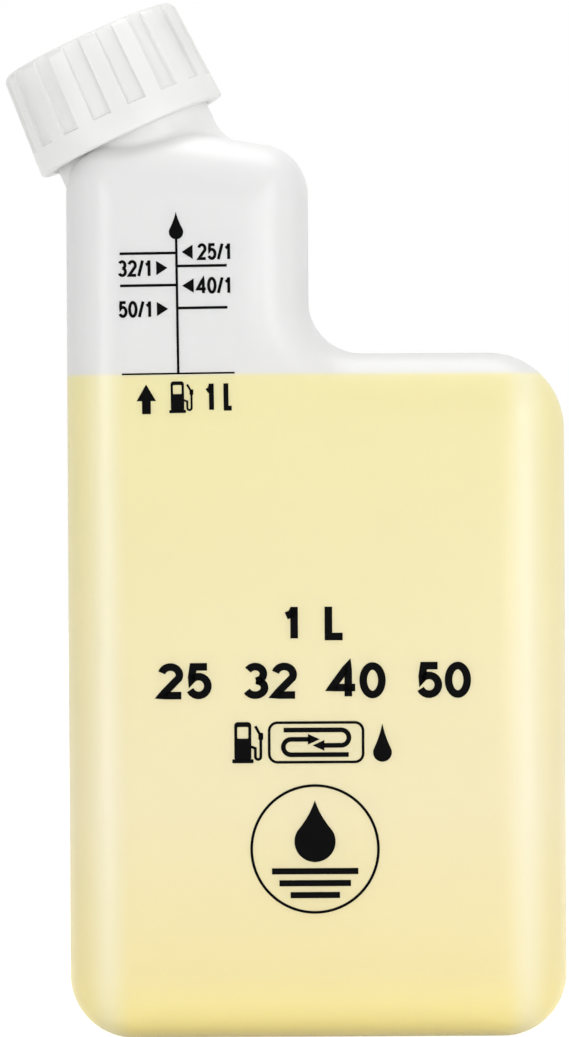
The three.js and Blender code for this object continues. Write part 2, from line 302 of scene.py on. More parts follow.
def bottle_form(name, inset, seam=False):
    """Body and chamber as one solid, shrunk by the inset, with the mould's parting line if seam."""
    half = HALF_DEPTH - inset
    reach_side, reach_depth = FACE_ROUND_SIDE - inset, FACE_ROUND_DEPTH - inset
    layers = []
    for i in range(EDGE_STEPS + 1):
        angle = i / EDGE_STEPS * math.pi / 2
        y = half - reach_depth + reach_depth * math.sin(angle)
        layers.append((y, reach_side * (1 - math.cos(angle))))
    layers.append((half, reach_side + FACE_MARGIN))
    if seam:
        ridge = [(0, 1), (0.25, 0.85), (0.5, 0.5), (0.75, 0.15), (1, 0), (1.5, 0), (2, 0)]
        layers = [(SEAM_WIDTH * y, -SEAM_HEIGHT * height) for y, height in ridge] + layers
    front = [(-y, edge) for y, edge in layers if y or not seam]
    rings = []
    for y, edge in layers[::-1] + front:
        rings.append([np.array([x, y, z]) for x, z in bottle_outline(inset, edge)])
    return loft(name, rings)


def base_hollow(growth):
    """The block that hollows the base, larger all round by the growth."""
    rings = []
    for slope, z in ((-HOLLOW_SLOPE, -HOLLOW_RISE), (HOLLOW_SLOPE, HOLLOW_RISE + growth)):
        half_x = BODY_WIDTH / 2 - FACE_ROUND_SIDE - FOOT_WIDTH - slope + growth
        half_y = HALF_DEPTH - FACE_ROUND_DEPTH - FOOT_WIDTH - slope + growth
        corners = [(MIDDLE + x * half_x, y * half_y, HOLLOW_CORNER, 0, 0) for x, y in CORNER_SIGNS]
        rings.append([np.array([x, y, z]) for x, y in rounded_outline(corners, EDGE_STEPS)])
    return loft("hollow", rings)


def pinch_bar():
    """The pressed seam left across the base where the mould closed."""
    rings = []
    for z, share in ((HOLLOW_RISE + WALL / 2, 1), (HOLLOW_RISE - PINCH_HEIGHT, PINCH_CREST)):
        half_x, half_y = PINCH_LENGTH / 2, PINCH_WIDTH / 2 * share
        rings.append([np.array([MIDDLE + x * half_x, y * half_y, z]) for x, y in CORNER_SIGNS])
    return loft("pinch", rings)


# The neck

def on_neck(points):
    """Points given across, back and up from the neck's foot, set in the frame."""
    return [NECK_FOOT + NECK_RIGHT * x + NECK_BACK * y + NECK_UP * z for x, y, z in points]


def neck_outside(form):
    """The neck's outside. Each line down it ends in a fillet that meets the chamber's own surface."""
    tree = BVHTree.FromObject(form, bpy.context.evaluated_depsgraph_get())
    up = Vector(NECK_UP)
    lines = []
    for i in range(NECK_SEGMENTS):
        angle = i / NECK_SEGMENTS * 2 * math.pi
        out = Vector(NECK_RIGHT * math.cos(angle) + NECK_BACK * math.sin(angle))
        wall = Vector(NECK_FOOT) + out * NECK_BASE_RADIUS
        hit, normal, _, _ = tree.ray_cast((wall + up * NECK_BASE_TOP) * MM, -up)
        hit = hit / MM
        away = (out - up * (out.dot(normal) / up.dot(normal))).normalized()
        leg = ROOT_FILLET + ROOT_FILLET_RIGHT * max(0, math.cos(angle)) ** 2
        above = hit + up * leg
        near, near_normal, _, _ = tree.find_nearest((hit + away * leg) * MM)
        outer = near / MM + near_normal * ROOT_LIFT
        line = [outer - near_normal * WALL / 2 - out * WALL]
        for step in range(EDGE_STEPS + 1):
            t = step / EDGE_STEPS
            line.append(outer * (1 - t) ** 2 + hit * 2 * t * (1 - t) + above * t ** 2)
        rim = NECK_RIM_HEIGHT - NECK_RIM_ROUND
        for height, radius in (
            (NECK_BASE_TOP, NECK_BASE_RADIUS),
            (NECK_BASE_TOP + NECK_BASE_STEP, NECK_RADIUS),
            (rim, NECK_RADIUS),
            (rim + NECK_RIM_ROUND * 0.7, NECK_RADIUS - NECK_RIM_ROUND * 0.3),
            (NECK_RIM_HEIGHT, NECK_RADIUS - NECK_RIM_ROUND),
        ):
            line.append(Vector(NECK_FOOT) + out * radius + up * height)
        lines.append(line)
    return loft("neck", [list(map(np.array, ring)) for ring in zip(*lines)])


def thread_ridge(wall_radius, depth, first_height):
    """A right-handed ridge, standing out for a positive depth and in for a negative one."""
    outward = math.copysign(1, depth)
    steps = round(THREAD_TURNS * THREAD_STEPS)
    rings = []
    for i in range(steps + 1):
        turns = i / steps * THREAD_TURNS
        fade = min(1, turns / THREAD_FADE_TURNS, (THREAD_TURNS - turns) / THREAD_FADE_TURNS)
        root = wall_radius - outward * THREAD_EMBED
        crest = wall_radius + depth * fade - outward * (1 - fade) * THREAD_EMBED / 2
        angle, height = turns * 2 * math.pi, first_height + turns * THREAD_PITCH
        lower = [(root, -THREAD_ROOT / 2), (crest, -THREAD_CREST / 2)]
        section = lower + [(r, -z) for r, z in lower[::-1]]
        rings.append(on_neck([(r * math.cos(angle), r * math.sin(angle), height + z) for r, z in section]))
    return loft("thread", rings)


def turned(name, profile, angles=None, radius_at=None):
    """A closed shape turned about the neck's axis.

    The profile, as (radius, height), starts and ends on the axis. The function radius_at, if given,
    changes a radius by its height and angle.
    """
    if angles is None:
        angles = [i / NECK_SEGMENTS * 2 * math.pi for i in range(NECK_SEGMENTS)]
    points = on_neck([(0, 0, profile[0][1])])
    inner = profile[1:-1]
    for radius, height in inner:
        for angle in angles:
            r = radius_at(radius, height, angle) if radius_at else radius
            points += on_neck([(r * math.cos(angle), r * math.sin(angle), height)])
    points += on_neck([(0, 0, profile[-1][1])])
    count, last = len(angles), len(points) - 1
    faces = []
    for i in range(count):
        j = (i + 1) % count
        faces.append((0, 1 + i, 1 + j))
        for row in range(len(inner) - 1):
            a = 1 + row * count
            faces.append((a + i, a + j, a + count + j, a + count + i))
        a = 1 + (len(inner) - 1) * count
        faces.append((a + j, a + i, last))
    return new_object(name, points, faces)


def make_bottle(material):
    """The hollow shell, with its neck, outside thread and base."""
    bottle = bottle_form("bottle_shell", 0, seam=True)
    neck = neck_outside(bottle)
    combine(bottle, base_hollow(0), "DIFFERENCE")
    combine(neck, thread_ridge(NECK_RADIUS, THREAD_DEPTH, NECK_THREAD_START), "UNION")
    combine(bottle, neck, "UNION")
    inside = bottle_form("inside", WALL)
    combine(inside, base_hollow(WALL), "DIFFERENCE")
    bore_radius, bore_top = NECK_RADIUS - NECK_WALL, NECK_RIM_HEIGHT + 1
    bore = [(0, BORE_FOOT), (bore_radius, BORE_FOOT), (bore_radius, bore_top), (0, bore_top)]
    combine(inside, turned("bore", bore), "UNION")
    combine(bottle, inside, "DIFFERENCE")
    combine(bottle, pinch_bar(), "UNION")
    shade(bottle, material, 32)
    return bottle


def make_fuel(material):
    """Fuel up to its level, a little higher where it clings to the wall."""
    fuel = bottle_form("fuel_mix", WALL + FUEL_GAP)
    combine(fuel, base_hollow(WALL + FUEL_GAP), "DIFFERENCE")
    top = FILL_LEVEL + MENISCUS
    sides = ((LEFT, -HALF_DEPTH), (RIGHT, -HALF_DEPTH), (RIGHT, HALF_DEPTH), (LEFT, HALF_DEPTH))
    slab = loft("slab", [[np.array([x, y, z]) for x, y in sides] for z in (-1, top)])
    combine(fuel, slab, "INTERSECT")
    near_top = (top - TOP_TOLERANCE) * MM
    shape = bmesh.new()
    shape.from_mesh(fuel.data)
    bmesh.ops.dissolve_limit(
        shape, angle_limit=math.radians(0.2),
        verts=[v for v in shape.verts if v.co.z > near_top],
        edges=[e for e in shape.edges if all(v.co.z > near_top for v in e.verts)],
    )
    surface = [f for f in shape.faces if f.normal.z > 0.99 and f.calc_center_median().z > near_top]
    for share in MENISCUS_FALLS:
        bmesh.ops.inset_region(
            shape, faces=surface, thickness=MENISCUS_STEP * MM, depth=-share * MENISCUS * MM,
            use_even_offset=True,
        )
    shape.to_mesh(fuel.data)
    shape.free()
    shade(fuel, material, 35)
    return fuel


# The cap

def arc(radius, centre, start, end, steps=8):
    """Points of a profile on part of a circle, its angles in radians."""
    angles = [start + (end - start) * i / steps for i in range(steps + 1)]
    return [(centre[0] + radius * math.cos(a), centre[1] + radius * math.sin(a)) for a in angles]


def cap_side(height):
    """The radius of the cap's tapered side."""
    return CAP_RADIUS - height * math.tan(CAP_TAPER)


def fluted(radius, height, angle):
    """The outside's radius where flutes are sunk into it, from the band up to where the top rounds off."""
    if radius <= CAP_BORE or height <= CAP_BAND:
        return radius
    pitch = 2 * math.pi / RIB_COUNT
    offset = abs((angle % pitch) - pitch / 2)
    across = smooth_step((FLUTE_HALF_ANGLE + FLUTE_EDGE / 2 - offset) / FLUTE_EDGE)
    up = smooth_step((height - CAP_BAND) / LEDGE_HEIGHT)
    depth = max(0, radius - (cap_side(height) - FLUTE_DEPTH))
    return radius - depth * float(across * up)


def cap_angles():
    """Angles round the cap, close together at each flute's edges."""
    pitch = 2 * math.pi / RIB_COUNT
    edge = [FLUTE_HALF_ANGLE + FLUTE_EDGE * share for share in (-0.5, -0.25, 0, 0.25, 0.5)]
    rib = [edge[-1] + (pitch / 2 - edge[-1]) * share for share in (0.12, 0.55)]
    half = [FLUTE_HALF_ANGLE * share for share in (0.3, 0.6, 0.85)] + edge + rib
    offsets = [-a for a in half[::-1]] + [0] + half + [pitch / 2]
    return [(i + 0.5) * pitch + offset for i in range(RIB_COUNT) for offset in offsets]


def make_cap(material):
    lip = CAP_LIP_ROUND
    top = CAP_HEIGHT - CAP_TOP_ROUND
    profile = [(0, CAP_CEILING), (CAP_BORE, CAP_CEILING)]
    profile += [(CAP_BORE, CAP_LIP_CHAMFER), (CAP_BORE + CAP_LIP_CHAMFER, 0)]
    profile += arc(lip, (cap_side(lip) - lip, lip), -math.pi / 2, -CAP_TAPER)
    ledge = [CAP_BAND + LEDGE_HEIGHT * share for share in (-0.5, 0, 0.25, 0.5, 0.75, 1, 1.5)]
    profile += [(cap_side(z), z) for z in (*ledge, *np.linspace(CAP_BAND + 2, top - 1, 8))]
    profile += arc(CAP_TOP_ROUND, (cap_side(top) - CAP_TOP_ROUND, top), CAP_TAPER, math.pi / 2, 14)
    gate_floor = CAP_HEIGHT - GATE_DEPTH
    profile += [(GATE_RADIUS, CAP_HEIGHT), (GATE_RADIUS - GATE_DEPTH, gate_floor), (0, gate_floor)]
    cap = turned("screw_cap", profile, cap_angles(), fluted)
    combine(cap, thread_ridge(CAP_BORE, -CAP_THREAD_DEPTH, CAP_THREAD_START), "UNION")
    shade(cap, material, 28)
    return cap


def make_liner(material):
    radius, low, high = CAP_BORE - LINER_SIDE_GAP, LINER_SEAT, LINER_SEAT + LINER_THICKNESS
    edge = LINER_ROUND
    profile = [(0, low), (radius - edge, low)]
    profile += arc(edge, (radius - edge, low + edge), -math.pi / 2, 0, 4)[1:]
    profile += arc(edge, (radius - edge, high - edge), 0, math.pi / 2, 4)
    profile += [(0, high)]
    liner = turned("foam_liner", profile)
    shade(liner, material, 40)
    return liner


# Materials

def srgb(red, green, blue):
    """A colour as it is seen, 0 to 255, in the linear values that shaders take."""
    def linear(value):
        value = value / 255
        return value / 12.92 if value <= 0.04045 else ((value + 0.055) / 1.055) ** 2.4
    return (linear(red), linear(green), linear(blue), 1)


# Colours
MILK_LIGHT = srgb(232, 232, 232)
MILK_DARK = srgb(224, 224, 224)
NECK_PAINTED_LIGHT = srgb(250, 250, 249)  # fitted as painted light: the neck and the deck below the cap turn whiter, lifting the shade that the cap casts there
FUEL_TOP = srgb(242, 235, 183)
FUEL_MIDDLE = srgb(243, 234, 196)
FUEL_LOWER = srgb(245, 234, 180)
# deeper yellow at the base; brighter there too, which is painted light that lifts the floor's shade
FUEL_LOW = srgb(252, 240, 166)
FUEL_SHADE = srgb(247, 245, 236)
FUEL_DEEP = srgb(240, 226, 160)
FUEL_PAINTED_HIGHLIGHT = srgb(248, 246, 232)  # fitted as a painted highlight: pale bands down the rounded sides, on top of the lamps' own highlights there
CAP_LIGHT = srgb(237, 237, 236)
CAP_DARK = srgb(227, 227, 225)
FOAM_PIT = srgb(214, 214, 208)
INK_DARK = srgb(2, 2, 2)
INK_LIGHT = srgb(7, 7, 8)

# Where they change: over the bottle's height, with painted light on the neck, and a painted highlight in a
# band along each side
FUEL_STOPS = ((0, FUEL_LOW), (0.1, FUEL_LOWER), (0.35, FUEL_MIDDLE), (1, FUEL_TOP))
# painted light on the neck: the height where it starts and the height where it is full
PAINTED_LIGHT_LOW = PEAK_Z - DECK_FALL_RIGHT - 6
PAINTED_LIGHT_HIGH = PEAK_Z + 5
WET_BELOW = 1
WET_ABOVE = 0.5
# painted highlight bands: their middle in from each side, their reach and their share
HIGHLIGHT_INSET = 9.6
HIGHLIGHT_REACH = 6
HIGHLIGHT_SHARE = 0.4

# Shares of a surface that let light through
CLEARNESS = 0.15
GLOW = 0.22
CAP_GLOW = 0.3


class Nodes:
    """Adds nodes to a new material and links them."""

    def __init__(self, name):
        self.material = bpy.data.materials.new(name)
        self.material.use_nodes = True
        self.tree = self.material.node_tree
        self.shader = self.tree.nodes["Principled BSDF"]
        self.output = self.tree.nodes["Material Output"]

    def add(self, kind, inputs=None, **settings):
        node = self.tree.nodes.new(kind)
        for key, value in settings.items():
            setattr(node, key, value)
        for key, value in (inputs or {}).items():
            self.set(node.inputs[key], value)
        return node

    def set(self, socket, value):
        if isinstance(value, bpy.types.NodeSocket):
            self.tree.links.new(value, socket)
        else:
            socket.default_value = value

    def place(self):
        return self.add("ShaderNodeTexCoord").outputs["Object"]

    def noise(self, scale, detail, stretch=None):
        vector = self.place()
        if stretch:
            vector = self.add("ShaderNodeMapping", {"Vector": vector, "Scale": stretch}).outputs["Vector"]
        node = self.add("ShaderNodeTexNoise", {"Vector": vector, "Scale": scale, "Detail": detail})
        return node.outputs["Fac"]

    def spread(self, value, low, high, from_low=0, from_high=1, smooth=False):
        """The value mapped from one range to another."""
        node = self.add(
            "ShaderNodeMapRange",
            {"Value": value, "From Min": from_low, "From Max": from_high, "To Min": low, "To Max": high},
            interpolation_type="SMOOTHSTEP" if smooth else "LINEAR",
        )
        return node.outputs["Result"]

    def mix(self, factor, one, other, blend="MIX"):
        node = self.add("ShaderNodeMix", data_type="RGBA", blend_type=blend)
        self.set(node.inputs[0], factor)
        self.set(node.inputs[6], one)
        self.set(node.inputs[7], other)
        return node.outputs[2]

    def blend(self, first, *later):
        """Mixes shaders: the first two by a share, then each later one over the result."""
        base, other, share = first
        result = base.outputs[0]
        for shader, part in ((other, share), *later):
            mixed = self.add("ShaderNodeMixShader", {0: part})
            self.tree.links.new(result, mixed.inputs[1])
            self.tree.links.new(shader.outputs[0], mixed.inputs[2])
            result = mixed.outputs[0]
        self.tree.links.new(result, self.output.inputs["Surface"])

    def bump(self, height, strength, distance, normal=None):
        inputs = {"Height": height, "Strength": strength, "Distance": distance}
        if normal:
            inputs["Normal"] = normal
        return self.add("ShaderNodeBump", inputs).outputs["Normal"]


def bottle_material():
    """Milky polyethylene: grey-white over air, and lit yellow from inside where fuel wets it."""
    nodes = Nodes("bottle_plastic")
    place = nodes.add("ShaderNodeSeparateXYZ", {"Vector": nodes.place()})
    across, height = place.outputs["X"], place.outputs["Z"]
    ramp = nodes.add("ShaderNodeValToRGB", {"Fac": nodes.spread(height, 0, 1, 0, FILL_LEVEL * MM)})
    ramp.color_ramp.elements[0].position = FUEL_STOPS[0][0]
    ramp.color_ramp.elements[1].position = FUEL_STOPS[-1][0]
    for position, _ in FUEL_STOPS[1:-1]:
        ramp.color_ramp.elements.new(position)
    for element, (_, colour) in zip(ramp.color_ramp.elements, FUEL_STOPS):
        element.color = colour
    wet_low, wet_high = (FILL_LEVEL - WET_BELOW) * MM, (FILL_LEVEL + WET_ABOVE) * MM
    wet = nodes.spread(height, 1, 0, wet_low, wet_high, smooth=True)
    clouds = nodes.spread(nodes.noise(16, 1), 0, 0.4)
    dry = nodes.mix(clouds, MILK_LIGHT, MILK_DARK)
    # painted light: whiter towards the neck, lifting the shade below the cap
    neck_light_mask = nodes.spread(height, 0, 1, PAINTED_LIGHT_LOW * MM, PAINTED_LIGHT_HIGH * MM, smooth=True)
    dry = nodes.mix(neck_light_mask, dry, NECK_PAINTED_LIGHT)
    yellow = nodes.mix(clouds, ramp.outputs["Color"], FUEL_SHADE, "MULTIPLY")
    # painted highlight: a pale band down each rounded side of the yellow
    for side, inward in ((LEFT, 1), (RIGHT, -1)):
        middle = side + inward * HIGHLIGHT_INSET
        off = nodes.add("ShaderNodeMath", {0: across, 1: middle * MM}, operation="SUBTRACT").outputs[0]
        off = nodes.add("ShaderNodeMath", {0: off}, operation="ABSOLUTE").outputs[0]
        band = nodes.spread(off, HIGHLIGHT_SHARE, 0, 0, HIGHLIGHT_REACH * MM, smooth=True)
        yellow = nodes.mix(band, yellow, FUEL_PAINTED_HIGHLIGHT)
    colour = nodes.mix(wet, dry, yellow)
    nodes.set(nodes.shader.inputs["Base Color"], colour)
    nodes.set(nodes.shader.inputs["Roughness"], nodes.spread(nodes.noise(30, 1), 0.31, 0.35))
    nodes.shader.inputs["IOR"].default_value = 1.5
    nodes.shader.inputs["Subsurface Weight"].default_value = 0.15
    nodes.shader.inputs["Subsurface Radius"].default_value = (0.004, 0.004, 0.003)
    nodes.shader.inputs["Subsurface Scale"].default_value = 1
    waves = nodes.bump(nodes.noise(14, 1, (1, 1, 0.6)), 0.3, 0.002)
    grain = nodes.bump(nodes.noise(1400, 2), 0.05, 0.0002, waves)
    nodes.set(nodes.shader.inputs["Normal"], grain)
    glow = nodes.add("ShaderNodeBsdfTranslucent", {"Color": colour})
    clear = nodes.add("ShaderNodeBsdfTransparent")
    nodes.blend((nodes.shader, glow, GLOW), (clear, CLEARNESS))
    return nodes.material


def fuel_material():
    nodes = Nodes("fuel_mix")
    swirl = nodes.spread(nodes.noise(18, 3), 0, 1)
    nodes.set(nodes.shader.inputs["Base Color"], nodes.mix(swirl, FUEL_MIDDLE, FUEL_DEEP))
    nodes.shader.inputs["Roughness"].default_value = 0.06
    nodes.shader.inputs["IOR"].default_value = 1.4
    nodes.shader.inputs["Transmission Weight"].default_value = 0.25
    return nodes.material


def cap_material():
    nodes = Nodes("cap_plastic")
    clouds = nodes.noise(60, 4)
    colour = nodes.mix(nodes.spread(clouds, 0, 0.7), CAP_LIGHT, CAP_DARK)
    nodes.set(nodes.shader.inputs["Base Color"], colour)
    nodes.set(nodes.shader.inputs["Roughness"], nodes.spread(nodes.noise(220, 4), 0.3, 0.42))
    nodes.shader.inputs["Subsurface Weight"].default_value = 0.2
    nodes.shader.inputs["Subsurface Radius"].default_value = (0.003, 0.003, 0.003)
    nodes.shader.inputs["Subsurface Scale"].default_value = 1
    nodes.set(nodes.shader.inputs["Normal"], nodes.bump(nodes.noise(900, 3), 0.08, 0.0002))
    glow = nodes.add("ShaderNodeBsdfTranslucent", {"Color": colour})
    nodes.blend((nodes.shader, glow, CAP_GLOW))
    return nodes.material


def liner_material():
    nodes = Nodes("liner_foam")
    cells = nodes.add("ShaderNodeTexVoronoi", {"Vector": nodes.place(), "Scale": 1600}).outputs["Distance"]
    nodes.set(nodes.shader.inputs["Base Color"], nodes.mix(cells, CAP_LIGHT, FOAM_PIT))
    nodes.shader.inputs["Roughness"].default_value = 0.85
    nodes.set(nodes.shader.inputs["Normal"], nodes.bump(cells, 0.4, 0.0003))
    return nodes.material


def ink_material():
    nodes = Nodes("black_ink")
    patches = nodes.noise(300, 4)
    nodes.set(nodes.shader.inputs["Base Color"], nodes.mix(patches, INK_DARK, INK_LIGHT))
    nodes.shader.inputs["Specular IOR Level"].default_value = 0.03
    nodes.set(nodes.shader.inputs["Roughness"], nodes.spread(patches, 0.38, 0.55))
    return nodes.material


# The print

INK_THICKNESS = 0.06
INK_SINK = 0.02
INK_STEP = 1.1
INK_ROUNDS = 4
RAY_START = -0.1  # metres, in front of the bottle


def lay_ink(obj, tree):
    """Lays a flat drawing, made facing -Y about y = 0, on the front of the bottle."""
    for vertex in obj.data.vertices:
        x, y, z = vertex.co
        hit, _, _, _ = tree.ray_cast(Vector((x, RAY_START, z)), Vector((0, 1, 0)))
        vertex.co.y = hit.y + (INK_SINK if y > 0 else -INK_THICKNESS) * MM


def filled(points, holes=()):
    """A filled outline, as (x, side, z) points and faces, cut finely enough to lie on the bottle.

    Only edges within its front or its back are cut, not those that join the two.
    """
    curve = bpy.data.curves.new("ink", "CURVE")
    curve.dimensions = "2D"
    curve.fill_mode = "BOTH"
    curve.extrude = 1
    for ring in (points, *holes):
        spline = curve.splines.new("POLY")
        spline.points.add(len(ring) - 1)
        spline.use_cyclic_u = True
        for point, (x, z) in zip(spline.points, ring):
            point.co = (x, z, 0, 1)
    obj = bpy.data.objects.new("ink", curve)
    bpy.context.scene.collection.objects.link(obj)
    mesh = obj.evaluated_get(bpy.context.evaluated_depsgraph_get()).to_mesh()
    shape = bmesh.new()
    shape.from_mesh(mesh)
    bmesh.ops.remove_doubles(shape, verts=shape.verts, dist=1e-4)
    for _ in range(INK_ROUNDS):
        bmesh.ops.triangulate(shape, faces=shape.faces)
        long_edges = [
            edge for edge in shape.edges
            if edge.calc_length() > INK_STEP and abs(edge.verts[0].co.z - edge.verts[1].co.z) < 1
        ]
        if long_edges:
            bmesh.ops.subdivide_edges(shape, edges=long_edges, cuts=1)
    shape.verts.index_update()
    solid = [(v.co.x, -v.co.z, v.co.y) for v in shape.verts]
    faces = [[v.index for v in face.verts] for face in shape.faces]
    shape.free()
    bpy.data.objects.remove(obj)
    return solid, faces


def stroke(path, thickness, closed=False):
    """A line of even thickness along a path, as (x, side, z) points and faces."""
    path = [np.array(point, float) for point in path]
    ends = path[1:] + path[:1] if closed else path[1:]
    places = []
    for start, end in zip(path, ends):
        steps = max(1, math.ceil(np.linalg.norm(end - start) / INK_STEP))
        places += [start + (end - start) * i / steps for i in range(steps)]
    if not closed:
        places.append(path[-1])
    count = len(places)
    points = []
    for i, place in enumerate(places):
        after = places[(i + 1) % count] - place if closed or i < count - 1 else place - places[i - 1]
        before = place - places[i - 1] if closed or i else after
        before, after = before / np.linalg.norm(before), after / np.linalg.norm(after)
        middle = before + after
        middle = middle / np.linalg.norm(middle)
        out = np.array([-middle[1], middle[0]]) * thickness / 2 / max(middle @ after, 0.5)
        for side, shift in ((-1, -out), (-1, out), (1, out), (1, -out)):
            points.append((place[0] + shift[0], side, place[1] + shift[1]))
    faces = []
    for i in range(count if closed else count - 1):
        a, b = 4 * i, 4 * ((i + 1) % count)
        faces += [(a + k, a + (k + 1) % 4, b + (k + 1) % 4, b + k) for k in range(4)]
    if not closed:
        last = 4 * (count - 1)
        faces += [(3, 2, 1, 0), (last, last + 1, last + 2, last + 3)]
    return points, faces


def curved(x, z, across, up, start, end, steps=16):
    """Points on part of an ellipse, its angles in degrees."""
    angles = np.radians(np.linspace(start, end, steps + 1))
    return [(x + across * math.cos(a), z + up * math.sin(a)) for a in angles]


# Each sign: its width as a share of its height, and its lines in a box from 0 to 1 each way
SIGNS = {
    "0": (0.5, [curved(0.5, 0.5, 0.5, 0.5, 90, 450, 28)]),
    "1": (0.3, [[(0.05, 0.74), (0.6, 0.82), (0.86, 1)], [(0.86, 1.06), (0.86, -0.06)]]),
    "2": (0.5, [curved(0.5, 0.72, 0.48, 0.28, 165, -25) + [(0.02, 0), (1.08, 0)]]),
    "3": (0.5, [curved(0.47, 0.745, 0.44, 0.255, 150, -85), curved(0.47, 0.26, 0.5, 0.26, 85, -155)]),
    "4": (0.58, [[(1.08, 0.25), (0, 0.25), (0.76, 1.02), (0.76, -0.06)]]),
    "5": (0.5, [[(0.94, 1), (0.2, 1), (0.08, 0.5)] + curved(0.48, 0.33, 0.5, 0.33, 135, -155)]),
    "/": (0.26, [[(-0.1, -0.06), (1.1, 1.06)]]),
    "L": (0.42, [[(0, 1.06), (0, 0), (1.05, 0)]]),
    " ": (0.5, []),
}
SIGN_GAP = 0.26


def figures(text, left, right, low, high, thickness):
    """Numbers drawn with one thickness of line and spread over a box."""
    widths = [SIGNS[sign][0] for sign in text]
    scale = (right - left - thickness) / (sum(widths) + SIGN_GAP * (len(text) - 1))
    shapes, x = [], left + thickness / 2
    foot, rise = low + thickness / 2, high - low - thickness
    spare = thickness / 2 / rise
    for sign, width in zip(text, widths):
        for line in SIGNS[sign][1]:
            path = [
                (x + px * width * scale, foot + min(max(pz, -spare), 1 + spare) * rise)
                for px, pz in line
            ]
            closed = sign == "0"
            shapes.append(stroke(path[:-1] if closed else path, thickness, closed))
        x += (width + SIGN_GAP) * scale
    return shapes


def bar(x0, z0, x1, z1, thickness):
    return stroke([(x0, z0), (x1, z1)], thickness)


def drop_points(x, low, high, half_width):
    """A drop: a round foot and a pointed tip."""
    centre = low + half_width
    lean = math.degrees(math.asin(half_width / (high - centre)))
    foot = curved(x, centre, half_width, half_width, 180 - lean, 360 + lean, 40)
    (left_x, left_z), (right_x, right_z) = foot[0], foot[-1]
    bow = half_width * 0.1
    rise = [(share, bow * math.sin(math.pi * share)) for share in (0.2, 0.4, 0.6, 0.8)]
    right = [(right_x + (x - right_x) * s - b, right_z + (high - right_z) * s) for s, b in rise]
    left = [(left_x + (x - left_x) * s + b, left_z + (high - left_z) * s) for s, b in rise[::-1]]
    return foot + right + [(x, high)] + left


def rounded_box(left, right, low, high, corner):
    """The outline of a box with rounded corners."""
    corners = ((left, low), (right, low), (right, high), (left, high))
    return [tuple(p) for p in rounded_outline([(x, z, corner, 0, 0) for x, z in corners], 8)]


# The scale: heights above the litre line and places beside the upright, along the scale's own axes
SCALE_FOOT = (LEFT + 27.4, 162.15)
SCALE_TILT = math.radians(0.6)
UPRIGHT_TOP = 33
LINE = 0.66
UPRIGHT_LINE = 0.61
LITRE_LINE = 0.44
LITRE_REACH = 13.7
LEFT_LINES = (29.3, 21.5)
RIGHT_LINES = (26.1, 15.9)
LEFT_REACH = -13.8
RIGHT_REACH = 12.2
MARK_HALF = 1.75
FIGURE_HALF = 2.05
FIGURE_LINE = 0.73
# Each mark: its text, its height, the pointer's tip and base, and the text's left and right ends
RIGHT_MARKS = (("25/1", 29.5, 1.3, 3.96, 5.05, 13.2), ("40/1", 21.3, 1.25, 4.1, 4.65, 13.1))
LEFT_MARKS = (("32/1", 25.7, -2.2, -4.95, -14.35, -6.2), ("50/1", 15.75, -2.2, -4.95, -14.35, -6.2))
LITRE_FIGURES = (("1", 6.2, 8.75), ("L", 10.9, 13.4))
LITRE_FIGURE_LOW, LITRE_FIGURE_HIGH = -9.2, -2.3
LITRE_FIGURE_LINE = 1.2


def scale_shapes():
    """The scale above the litre line, with its marks and the drop on top."""
    shapes = [bar(0, 0, 0, UPRIGHT_TOP, UPRIGHT_LINE), bar(-LITRE_REACH, 0, LITRE_REACH, 0, LITRE_LINE)]
    shapes += [bar(LEFT_REACH, z, 0, z, LINE) for z in LEFT_LINES]
    shapes += [bar(0, z, RIGHT_REACH, z, LINE) for z in RIGHT_LINES]
    shapes.append(filled(drop_points(0, UPRIGHT_TOP - 0.4, 39.3, 1.76)))
    for text, z, tip, base, left, right in RIGHT_MARKS + LEFT_MARKS:
        shapes.append(filled([(tip, z), (base, z + MARK_HALF), (base, z - MARK_HALF)]))
        shapes += figures(text, left, right, z - FIGURE_HALF, z + FIGURE_HALF, FIGURE_LINE)
    return shapes


def pump_shapes(left, low, width, height, line):
    """A fuel pump: a cabinet with a window, a plinth, and a hose that hooks over to a nozzle."""
    right = left + width * 0.62
    window = rounded_box(
        left + width * 0.13, right - width * 0.13, low + height * 0.6, low + height * 0.88, line * 0.3)
    cabinet = rounded_box(left + width * 0.03, right - width * 0.03, low + height * 0.06, low + height, line)
    plinth = rounded_box(left - width * 0.04, right + width * 0.04, low, low + height * 0.1, line * 0.3)
    nozzle = rounded_box(
        right + width * 0.2, right + width * 0.36, low + height * 0.56, low + height * 0.74, line * 0.35)
    bend = curved(right + width * 0.19, low + height * 0.16, width * 0.09, height * 0.07, -180, 0, 10)
    hose = [(right - line * 0.3, low + height * 0.4), (right + width * 0.1, low + height * 0.36)] + bend
    hose += [(right + width * 0.28, low + height * 0.66), (right + width * 0.1, low + height * 0.9)]
    return [filled(cabinet, [window]), filled(plinth), filled(nozzle), stroke(hose, line * 0.75)]


def litre_shapes():
    """Under the litre line: an arrow up to it, a pump, and the litre itself."""
    arrow_x, half_head, half_shaft = -7.87, 2.37, 1.07
    tip, neck, foot = -2.53, -6.6, -9.76
    left_side = [(-half_head, neck), (-half_shaft, neck), (-half_shaft, foot)]
    outline = [(0, tip)] + left_side + [(-x, z) for x, z in left_side[::-1]]
    arrow = [(arrow_x + x, z) for x, z in outline]
    shapes = [filled(arrow)] + pump_shapes(-2.1, -9.6, 5.8, 7.7, 0.7)
    for text, left, right in LITRE_FIGURES:
        shapes += figures(text, left, right, LITRE_FIGURE_LOW, LITRE_FIGURE_HIGH, LITRE_FIGURE_LINE)
    return shapes


